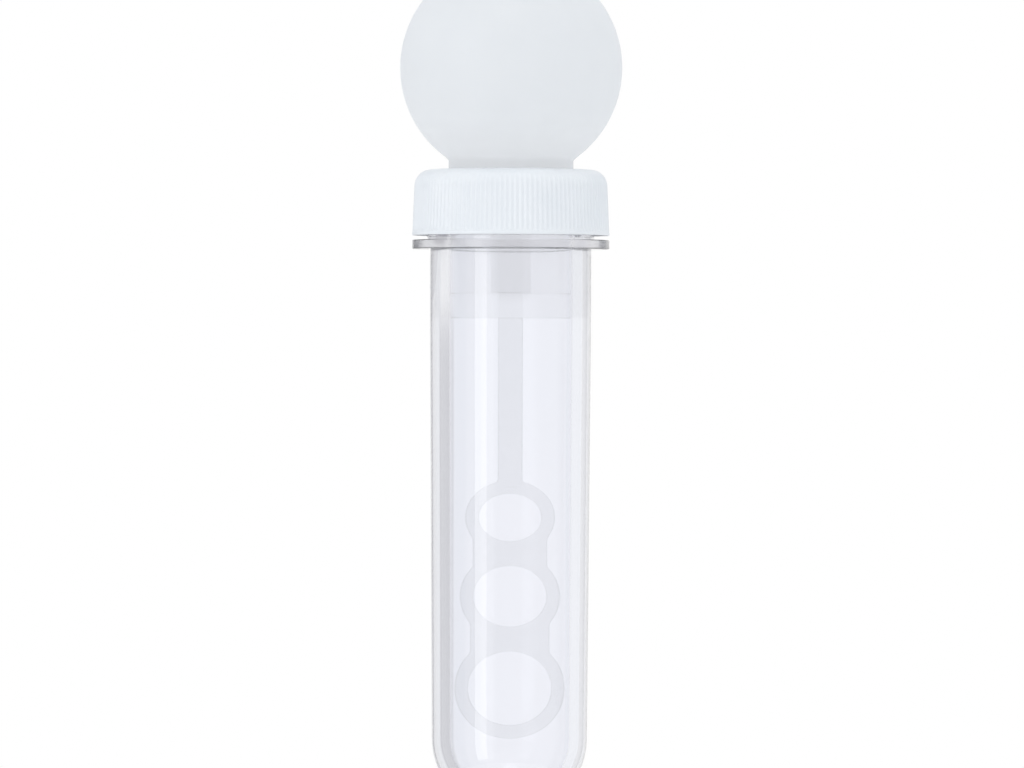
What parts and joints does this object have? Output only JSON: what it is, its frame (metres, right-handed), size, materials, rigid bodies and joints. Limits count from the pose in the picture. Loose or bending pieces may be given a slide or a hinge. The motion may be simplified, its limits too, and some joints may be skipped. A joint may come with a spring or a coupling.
{
  "type": "bubble wand",
  "caption": "Bubble wand stored in a clear round-bottomed tube: a frosted ball handle with a plug and a ringed wand pulls out through a ribbed white screw cap.",
  "frame": {"origin": "on the tube's axis at the underside of the support ring, where the shank starts", "axes": "+Z along the tube towards the ball, with the wand's flat rings in the XZ plane"},
  "size_m": [0.0372, 0.0372, 0.1445],
  "materials": {
    "clear_tube": "clear, colourless, polished moulded plastic",
    "white_cap": "white moulded plastic, satin",
    "soft_seal": "soft pale sealing ring, matt",
    "frosted_ball": "frosted colourless moulded plastic",
    "frosted_plug": "frosted colourless moulded plastic",
    "frosted_wand": "frosted colourless moulded plastic"
  },
  "bodies": {
    "tube": {"tube": "clear_tube"},
    "seal": {"seal_ring": "soft_seal"},
    "cap": {"screw_cap": "white_cap"},
    "wand": {"ball_head": "frosted_ball", "stem_socket": "frosted_plug", "wand": "frosted_wand"}
  },
  "joints": [
    {"name": "thread_rise", "type": "slide", "parent": "tube", "child": "seal", "axis": [0, 0, 1], "range_m": [0, 0.00376]},
    {"name": "cap_turn", "type": "hinge", "parent": "seal", "child": "cap", "pos_m": [0, 0, 0.008], "axis": [0, 0, 1], "range_deg": [0, 450]},
    {"name": "wand_draw", "type": "slide", "parent": "seal", "child": "wand", "axis": [0, 0, 1], "range_m": [0, 0.098]}
  ],
  "couplings": [
    {"joint": "thread_rise", "follows": "cap_turn", "m_per_rad": 0.00047746}
  ]
}
